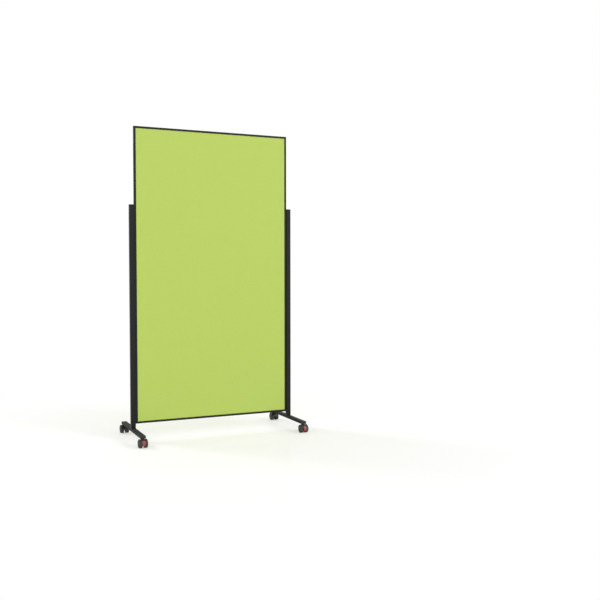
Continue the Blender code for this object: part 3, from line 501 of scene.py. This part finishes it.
def plugStack(half, plate, depth):
    # Height over the inset: the tongue below the plate, its straight rim, a quarter round and a crown that
    # rises by dome * (1 - (1 - s)^2) from the rim to domeRest from the middle.
    a = np.linspace(0, np.pi / 2, plug["edgeSteps"] + 1)
    wall, edge = plug["wall"], plug["edge"]
    s = np.linspace(0, 1, plug["domeSteps"] + 1)[1:]
    reach = min(half) - edge - plug["domeRest"]
    inset = np.concatenate([[wall, wall, 0.0, 0.0], edge * (1 - np.cos(a)), edge + s * reach])
    crown = plate - plug["dome"]
    height = np.concatenate([[-depth, 0.0, 0.0, plug["seam"]], crown - edge + edge * np.sin(a),
                             crown + plug["dome"] * (1 - (1 - s) ** 2)])
    corner = np.maximum(plug["corner"] - plug["cornerShare"] * inset, plug["cornerLeast"])
    rings = np.array([roundedRing(half[0] - d, half[1] - d, radius, plug["cornerSteps"])
                      for d, radius in zip(inset, corner)])
    return np.concatenate([rings, np.broadcast_to(height[:, None, None], rings.shape[:2] + (1,))], axis=2)


for side in sides:
    low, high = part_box(side + "_post_cap")
    half = ((high.x - low.x) / 2, (high.y - low.y) / 2)
    seat = high.z - plug["postPlate"]
    stack = plugStack(half, plug["postPlate"], seat - low.z)
    stack = stack + ((low.x + high.x) / 2, (low.y + high.y) / 2, seat)
    addPiece(side + "_post_cap_moulding", [stack], "stand", "plastic", side + "_post_cap")
    for end, way in zip(ends, (-1, 1)):
        node = side + "_" + end + "_foot_cap"
        low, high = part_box(node)
        half = ((high.x - low.x) / 2, (high.z - low.z) / 2)
        tip = high.y if way > 0 else low.y
        depth = (high.y - low.y) - plug["footPlate"]
        stack = plugStack(half, plug["footPlate"], depth)
        across = (low.x + high.x) / 2 + stack[..., 0]
        along = tip - way * (plug["footPlate"] - stack[..., 2])
        up = (low.z + high.z) / 2 + stack[..., 1]
        placed = np.stack([across, along, up], axis=-1)
        addPiece(node + "_moulding", [placed], "stand", "plastic", node)
print("plugs made")


# Screws and bolts: turned, with a hexagon socket

screw = {"radius": 0.0025, "head": 0.0048, "tip": 0.0012, "tipRun": 0.0006, "edge": 0.0002, "socket": 0.00175,
         "socketDepth": 0.0015, "land": 0.0008, "floorDrop": 0.0003, "floorHole": 0.0006, "steps": 48}
bolt = {"radius": 0.004, "head": 0.0065, "headHeight": 0.005, "headRound": 0.0009, "edge": 0.0003,
        "underEdge": 0.0002, "tipRun": 0.001, "socket": 0.0029, "socketDepth": 0.0028, "land": 0.0012,
        "floorDrop": 0.0006, "floorHole": 0.0008, "steps": 48}


def clampScrew(node, outward):
    # The line of (depth, radius) runs from the tip up the shank, over the sunk cone and flat head, and down
    # into the socket, whose rings are hexagons.
    low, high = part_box(node)
    face = high.x if outward > 0 else low.x
    length = high.x - low.x
    radius, head, edge, socket = screw["radius"], screw["head"], screw["edge"], screw["socket"]
    floor = screw["socketDepth"]
    outside = [(length, screw["tip"]), (length - edge, radius - edge), (length - screw["tipRun"], radius),
               (head - radius, radius), (edge, head), (0.0, head - edge), (0.0, socket + screw["land"])]
    inside = [(0.0, socket + edge), (edge, socket), (floor, socket),
              (floor + screw["floorDrop"], screw["floorHole"])]
    line = np.array(outside + inside)
    line[:, 0] *= -outward
    hexShare = [0] * len(outside) + [1] * len(inside)
    centre = (face, (low.y + high.y) / 2, (low.z + high.z) / 2)
    stack = turnedStack(line, centre, 0, screw["steps"], hexShare)
    addPiece(node + "_turning", [stack], "stand", "steel", node)


def footBolt(node):
    # The line of (height, radius) runs from the socket's floor out over the head and up the shank to the tip.
    low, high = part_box(node)
    centre = ((low.x + high.x) / 2, (low.y + high.y) / 2, low.z)
    length = high.z - low.z
    radius, head, edge, socket = bolt["radius"], bolt["head"], bolt["edge"], bolt["socket"]
    floor, shoulder, under = bolt["socketDepth"], bolt["headHeight"], bolt["underEdge"]
    inside = [(floor + bolt["floorDrop"], bolt["floorHole"]), (floor, socket), (edge, socket),
              (0.0, socket + edge)]
    outside = [(0.0, socket + bolt["land"]), (0.0, head - bolt["headRound"]), (edge, head - edge),
               (bolt["headRound"], head), (shoulder - under, head), (shoulder, head - under),
               (shoulder, radius), (length - bolt["tipRun"], radius), (length, radius - bolt["tipRun"])]
    hexShare = [1] * len(inside) + [0] * len(outside)
    stack = turnedStack(np.array(inside + outside), centre, 2, bolt["steps"], hexShare)
    addPiece(node + "_turning", [stack], "stand", "steel", node)


for side, outward in zip(sides, (-1, 1)):
    footBolt(side + "_foot_bolt")
    for level in ("upper", "lower"):
        clampScrew(side + "_" + level + "_clamp_screw", outward)
print("screws turned")


# Casters. Places in a caster's middle plane are (forward, up) from the axle, with forward to the foot bar's
# end; an arc there is its first and last angle in degrees, from forward towards up, and its steps

hood = {"gap": 0.0006, "thick": 0.0012, "edge": 0.0005, "start": 55.0, "plainStart": 30.0, "end": 178.0,
        "steps": 64, "droop": 0.001, "droopRun": 0.008, "cuts": 30}
web = {"half": 0.0057, "edge": 0.0007, "hub": 0.009, "hubArc": (240.0, 360.0, 24), "hoodSink": 0.0002,
       "hoodInset": 1.0, "hoodSteps": 48, "lug": 0.0048, "lugArc": (-62.0, 48.0, 16), "notch": 0.0052,
       "notchArc": (-72.0, -262.0, 24), "slot": 0.0025}
collar = {"radius": 0.0085, "height": 0.010, "core": 0.001, "edge": 0.0009, "steps": 64}
stem = {"radius": 0.004, "flange": 0.008, "thick": 0.0018, "gap": 0.0003, "core": 0.001, "tipSoft": 0.0006,
        "neckSoft": 0.0002, "flangeSoft": 0.0004, "softSteps": 4, "steps": 64}
wheel = {"rim": 0.0045, "wall": 0.003, "dish": 0.0016, "slope": 0.001, "hub": 0.007, "hubWall": 0.004,
         "hubSink": 0.0002, "hubCore": 0.00175, "bore": 0.0033, "boreCore": 0.0011, "boreSoft": 0.0003,
         "hubSoft": 0.0004, "cupSoft": 0.0015, "rimSoft": 0.0008, "innerSoft": 0.0024, "tread": 0.0052,
         "treadSoft": 0.004836, "dishSoft": 0.0002, "floorSoft": 0.0005, "capSoft": 0.0006, "softSteps": 6,
         "steps": 96}
pedal = {"gap": 0.0024, "thick": 0.003, "half": 0.009, "edge": 0.0011, "arc": (43.0, -11.0, 64),
         "curl": 0.005, "curlTurn": 28.0, "curlSteps": 16, "lip": 0.0003, "toeRound": 0.006,
         "topRound": 0.003, "blunt": 0.0014, "armHalf": 0.0022, "armEdge": 0.0004, "armArc": (18.0, 38.0, 8),
         "barrel": 0.0036, "barrelArc": (98.0, 322.0, 28), "pin": 0.0015, "pinHalf": 0.0053,
         "pinEdge": 0.0003, "pinSteps": 32}


def arcPoints(radius, start, end, steps, centre=(0.0, 0.0)):  # centre + radius * (cos t, sin t), t in degrees
    t = np.radians(np.linspace(start, end, steps + 1))
    return np.asarray(centre) + radius * np.stack([np.cos(t), np.sin(t)], axis=1)


def onCaster(stack, axle, way):  # (x, forward, up) about the axle becomes a place in the shared frame
    return axle + stack * (1, way, 1)


def wheelStack(node, centreX):
    # The wheel's line of (place from the inner side outwards, radius), turned about X, runs out of the bore,
    # over the hub and round the cup, then over the tread and down the dish to the cap.
    low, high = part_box(node)
    radius = (high.z - low.z) / 2
    width = high.x - low.x
    outward = 1 if (low.x + high.x) / 2 > centreX else -1
    cup = radius - wheel["rim"]
    cupFloor = width - wheel["dish"] - wheel["wall"]
    dishFloor = width - wheel["dish"]
    dish = radius - wheel["tread"]
    boreFloor = width - wheel["hubWall"]
    hubTop = width - wheel["hubSink"]
    hub, bore, slope = wheel["hub"], wheel["bore"], wheel["slope"]
    corners = [(boreFloor, wheel["boreCore"]), (boreFloor, bore), (0, bore), (0, hub), (cupFloor, hub),
               (cupFloor, cup), (0, cup), (0, radius), (width, radius), (width, dish),
               (dishFloor, dish - slope), (dishFloor, hub + slope), (hubTop, hub), (hubTop, wheel["hubCore"])]
    soft = ("boreSoft", "boreSoft", "hubSoft", "cupSoft", "cupSoft", "rimSoft", "innerSoft", "treadSoft",
            "dishSoft", "floorSoft", "floorSoft", "capSoft")
    line = softLine(corners, [0] + [wheel[key] for key in soft] + [0], wheel["softSteps"])
    inner = low.x if outward > 0 else high.x
    line[:, 0] *= outward
    return turnedStack(line, (inner, (low.y + high.y) / 2, (low.z + high.z) / 2), 0, wheel["steps"])


def housingStacks(braked, reach, halfWidth, pivot):
    # The web's layers are rounded plates, and the hood is a rounded strip on an arc. Towards its sides the
    # hood comes in by droop * (share of droopRun)^3, because the wheels' outer rims are round there.
    inner = reach + hood["gap"]
    outer = inner + hood["thick"]
    start = hood["start"] if braked else hood["plainStart"]
    half, slot, edge = web["half"], web["slot"], web["edge"]
    hubArc = arcPoints(web["hub"], *web["hubArc"])
    hoodArc = arcPoints(outer - web["hoodSink"], start + web["hoodInset"], hood["end"] - web["hoodInset"],
                        web["hoodSteps"])
    if braked:
        cheek = np.vstack([hubArc, arcPoints(web["lug"], *web["lugArc"], pivot), hoodArc])
        middle = np.vstack([hubArc, arcPoints(web["notch"], *web["notchArc"], pivot), hoodArc])
        stacks = [plateStack(cheek, slot, half, edge), plateStack(cheek, -half, -slot, edge),
                  plateStack(middle, -slot - edge, slot + edge, edge / 2)]
    else:
        stacks = [plateStack(np.vstack([hubArc, hoodArc]), -half, half, edge)]
    lead = np.degrees(hood["edge"] / outer)
    path = arcPoints((inner + outer) / 2, start + lead, hood["end"] - lead, hood["steps"])
    outward = path / np.linalg.norm(path, axis=1, keepdims=True)
    strip = splitSides(sweptStack(halfWidth, hood["thick"] / 2, hood["edge"], path, outward), hood["cuts"])
    run = np.maximum(0, np.abs(strip[..., 0]) - (halfWidth - hood["droopRun"])) / hood["droopRun"]
    scale = 1 - hood["droop"] * run ** 3 / outer
    stacks.append(np.stack([strip[..., 0], strip[..., 1] * scale, strip[..., 2] * scale], axis=-1))
    return stacks


def collarStack(stemPlace, axle, reach, top):
    # A round collar about the stem, whose lower points rise to the hood's middle,
    # z = axle z + sqrt(seatRadius^2 - (y - axle y)^2).
    foot, radius, core = top - collar["height"], collar["radius"], collar["core"]
    line = softLine([(foot, core), (foot, radius), (top, radius), (top, core)], collar["edge"])
    ring = turnedStack(line, (stemPlace[0], stemPlace[1], 0.0), 2, collar["steps"])
    seatRadius = reach + hood["gap"] + hood["thick"] / 2
    hoodMiddle = axle[2] + np.sqrt(seatRadius ** 2 - (ring[..., 1] - axle[1]) ** 2)
    ring[..., 2] = np.maximum(ring[..., 2], hoodMiddle)
    return ring


def pedalStacks(reach, pivot):
    # The flap follows an arc round the wheels and curls outwards at its foot; an arm, barrel and pin carry
    # it. A round corner takes radius - sqrt(radius^2 - (radius - d)^2) off the half width, where d is the
    # height from that end plus blunt.
    middle = reach + pedal["gap"] + pedal["thick"] / 2
    arc = arcPoints(middle, *pedal["arc"])
    out = arc[-1] / middle
    down = np.array([out[1], -out[0]])
    turn = np.radians(np.linspace(0, pedal["curlTurn"], pedal["curlSteps"] + 1))[1:, None]
    curl = arc[-1] + pedal["curl"] * ((1 - np.cos(turn)) * out + np.sin(turn) * down)
    heading = np.cos(turn[-1]) * down + np.sin(turn[-1]) * out
    path = np.vstack([arc, curl, curl[-1] + pedal["lip"] * heading])
    curlOut = np.cos(turn) * out - np.sin(turn) * down
    outward = np.vstack([arc / middle, curlOut, curlOut[-1]])
    up = path[:, 1]
    narrow = np.zeros(len(path))
    for radius, distance in ((pedal["topRound"], up[0] - up), (pedal["toeRound"], up - up[-1])):
        short = np.maximum(0, radius - distance - pedal["blunt"])
        narrow += radius - np.sqrt(radius ** 2 - short ** 2)
    flap = sweptStack(pedal["half"], pedal["thick"] / 2, pedal["edge"], path, outward, narrow)
    barrel = arcPoints(pedal["barrel"], *pedal["barrelArc"], pivot)
    arm = np.vstack([arcPoints(middle, *pedal["armArc"]), barrel])
    armStack = plateStack(arm, -pedal["armHalf"], pedal["armHalf"], pedal["armEdge"])
    half, radius, edge = pedal["pinHalf"], pedal["pin"], pedal["pinEdge"]
    pinLine = softLine([(-half, edge), (-half, radius), (half, radius), (half, edge)], edge)
    return [flap, armStack, turnedStack(pinLine, (0.0, pivot[0], pivot[1]), 0, pedal["pinSteps"])]


def stemStack(stemPlace, low, high, seat):
    # The line of (height, radius) runs up the shank, out round the flange that lies on the collar, and up.
    over = seat + stem["thick"]
    radius, flange, core = stem["radius"], stem["flange"], stem["core"]
    corners = [(low.z, core), (low.z, radius), (seat, radius), (seat, flange), (over, flange), (over, radius),
               (high.z, radius), (high.z, core)]
    soft = [0, stem["tipSoft"], stem["neckSoft"], stem["flangeSoft"]]
    line = softLine(corners, soft + soft[::-1], stem["softSteps"])
    return turnedStack(line, (stemPlace[0], stemPlace[1], 0.0), 2, stem["steps"])


for side in sides:
    for end, way in zip(ends, (-1, 1)):
        name = side + "_" + end
        braked = end == "front"
        axle = jointPlace[name + "_left_wheel_spin"].copy()
        stemPlace = jointPlace[name + "_swivel"]
        axle[0] = stemPlace[0]
        wheelLow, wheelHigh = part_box(name + "_left_wheel")
        reach = (wheelHigh.z - wheelLow.z) / 2
        housingLow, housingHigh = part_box(name + "_caster_housing")
        pivot = np.zeros(2)
        if braked:
            pin = jointPlace[name + "_brake_pedal_tip"]
            pivot = np.array([way * (pin[1] - axle[1]), pin[2] - axle[2]])
            stacks = [onCaster(stack, axle, way) for stack in pedalStacks(reach, pivot)]
            addPiece(name + "_pedal_moulding", stacks, name + "_brake_pedal", "pedal", name + "_brake_pedal")
        halfWidth = (housingHigh.x - housingLow.x) / 2
        stacks = [onCaster(stack, axle, way) for stack in housingStacks(braked, reach, halfWidth, pivot)]
        stacks.append(collarStack(stemPlace, axle, reach, housingHigh.z))
        addPiece(name + "_housing_moulding", stacks, name + "_caster", "caster", name + "_caster_housing")
        for hand in sides:
            node = name + "_" + hand + "_wheel"
            addPiece(node + "_moulding", [wheelStack(node, stemPlace[0])], node, "wheel", node)
        low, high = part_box(name + "_caster_stem")
        stack = stemStack(stemPlace, low, high, housingHigh.z + stem["gap"])
        addPiece(name + "_stem_turning", [stack], "stand", "steel", name + "_caster_stem")
print("casters made")


# Camera, floor and light

view = {"place": (-1.6645, -4.9248, 1.0601), "pitch": -2.223, "heading": -25.501, "focal": 49.038,
        "sensor": 36.0, "shift": (-0.0185, -0.00415), "farthest": 200.0}
cameraData = bpy.data.cameras.new("photoCamera")
cameraData.lens = view["focal"]
cameraData.sensor_width = view["sensor"]
cameraData.shift_x, cameraData.shift_y = view["shift"]
cameraData.clip_end = view["farthest"]
camera = bpy.data.objects.new("photoCamera", cameraData)
camera.location = view["place"]
camera.rotation_euler = (math.radians(90 + view["pitch"]), 0.0, math.radians(view["heading"]))
bpy.context.scene.collection.objects.link(camera)
bpy.context.scene.camera = camera

studio = {"floorReach": 40.0, "floorColour": (0.84, 0.84, 0.825, 1.0), "floorSeen": (0.67, 0.67, 0.655, 1.0),
          "floorLift": 0.39, "liftColour": (1.0, 1.0, 0.985, 1.0), "gloss": 0.02, "glossRoughness": 0.12,
          "fadeRange": (0.9, 2.3), "skyLight": 0.665, "skyLean": 0.16, "leanTowards": (0.25, -0.93, 0.25)}


def floorMaterial():
    # Matt pale floor with a faint gloss, lifted where it is seen. Over fadeRange, by the distance from the
    # object, it turns into plain white.
    material = bpy.data.materials.new("paleFloor")
    material.use_nodes = True
    tree = material.node_tree
    tree.nodes.clear()
    rays = addNode(tree, "LightPath")
    seen = addMath(tree, "MAXIMUM", rays.outputs["Is Camera Ray"], rays.outputs["Is Glossy Ray"])
    colour = addMix(tree, seen, studio["floorColour"], studio["floorSeen"])
    matt = addNode(tree, "BsdfDiffuse", {"Color": colour})
    gloss = addNode(tree, "BsdfGlossy", {"Color": (1, 1, 1, 1), "Roughness": studio["glossRoughness"]})
    surface = addNode(tree, "MixShader", {0: studio["gloss"], 1: matt.outputs[0], 2: gloss.outputs[0]})
    lift = addMath(tree, "MULTIPLY", seen, studio["floorLift"])
    glow = addNode(tree, "Emission", {"Color": studio["liftColour"], "Strength": lift})
    lifted = addNode(tree, "AddShader", {0: surface.outputs[0], 1: glow.outputs[0]})
    position = addNode(tree, "TexCoord").outputs["Object"]
    distance = addNode(tree, "VectorMath", {0: position}, operation="LENGTH").outputs["Value"]
    far = addRange(tree, distance, studio["fadeRange"], interpolation_type="SMOOTHSTEP")
    white = addNode(tree, "Emission", {"Color": (1, 1, 1, 1), "Strength": 1.0})
    faded = addNode(tree, "MixShader", {0: addMath(tree, "MULTIPLY", far, seen), 1: lifted.outputs[0],
                                        2: white.outputs[0]})
    output = addNode(tree, "OutputMaterial")
    tree.links.new(faded.outputs[0], output.inputs["Surface"])
    return material


def addFloor():
    reach = studio["floorReach"]
    mesh = bpy.data.meshes.new("studioFloor")
    corners = [(-reach, -reach, 0.0), (reach, -reach, 0.0), (reach, reach, 0.0), (-reach, reach, 0.0)]
    mesh.from_pydata(corners, [], [(0, 1, 2, 3)])
    mesh.materials.append(floorMaterial())
    floor = bpy.data.objects.new("studioFloor", mesh)
    bpy.context.scene.collection.objects.link(floor)


def addSky():
    # Soft light for the object, skyLight + skyLean * (ray . leanTowards); plain white where it is seen.
    world = bpy.data.worlds.new("studioWorld")
    bpy.context.scene.world = world
    world.use_nodes = True
    tree = world.node_tree
    tree.nodes.clear()
    rays = addNode(tree, "LightPath")
    direct = addMath(tree, "MAXIMUM", rays.outputs["Is Camera Ray"], rays.outputs["Is Glossy Ray"])
    seen = addMath(tree, "MAXIMUM", direct, rays.outputs["Is Transmission Ray"])
    ray = addNode(tree, "TexCoord").outputs["Generated"]
    along = addNode(tree, "VectorMath", {0: ray, 1: studio["leanTowards"]}, operation="DOT_PRODUCT")
    leaning = addMath(tree, "MULTIPLY", along.outputs["Value"], studio["skyLean"])
    light = addMath(tree, "ADD", leaning, studio["skyLight"])
    lightSky = addNode(tree, "Background", {"Color": (1, 1, 1, 1), "Strength": light})
    whiteSky = addNode(tree, "Background", {"Color": (1, 1, 1, 1), "Strength": 1.0})
    mixed = addNode(tree, "MixShader", {0: seen, 1: lightSky.outputs[0], 2: whiteSky.outputs[0]})
    output = addNode(tree, "OutputWorld")
    tree.links.new(mixed.outputs[0], output.inputs["Surface"])


lamps = [
    {"name": "keySoftbox", "place": (9.2, -12.8, 6.8), "size": 6.0, "power": 820.0},
    {"name": "fillSoftbox", "place": (-10.0, -9.2, 3.2), "size": 7.0, "power": 240.0},
    {"name": "rearSoftbox", "place": (-7.5, 10.5, 8.0), "size": 4.0, "power": 620.0},
]


def addLamp(lamp, target=(0.0, 0.0, 0.9)):  # an area lamp turned so that it looks at the target
    data = bpy.data.lights.new(lamp["name"], "AREA")
    data.size = lamp["size"]
    data.energy = lamp["power"]
    obj = bpy.data.objects.new(lamp["name"], data)
    obj.location = lamp["place"]
    aim = np.subtract(target, lamp["place"])
    flat = math.hypot(aim[0], aim[1])
    obj.rotation_euler = (math.atan2(flat, -aim[2]), 0.0, math.atan2(-aim[0], aim[1]))
    bpy.context.scene.collection.objects.link(obj)


addFloor()
addSky()
for lamp in lamps:
    addLamp(lamp)
bpy.context.scene.view_settings.view_transform = "Standard"
print("studio lit")
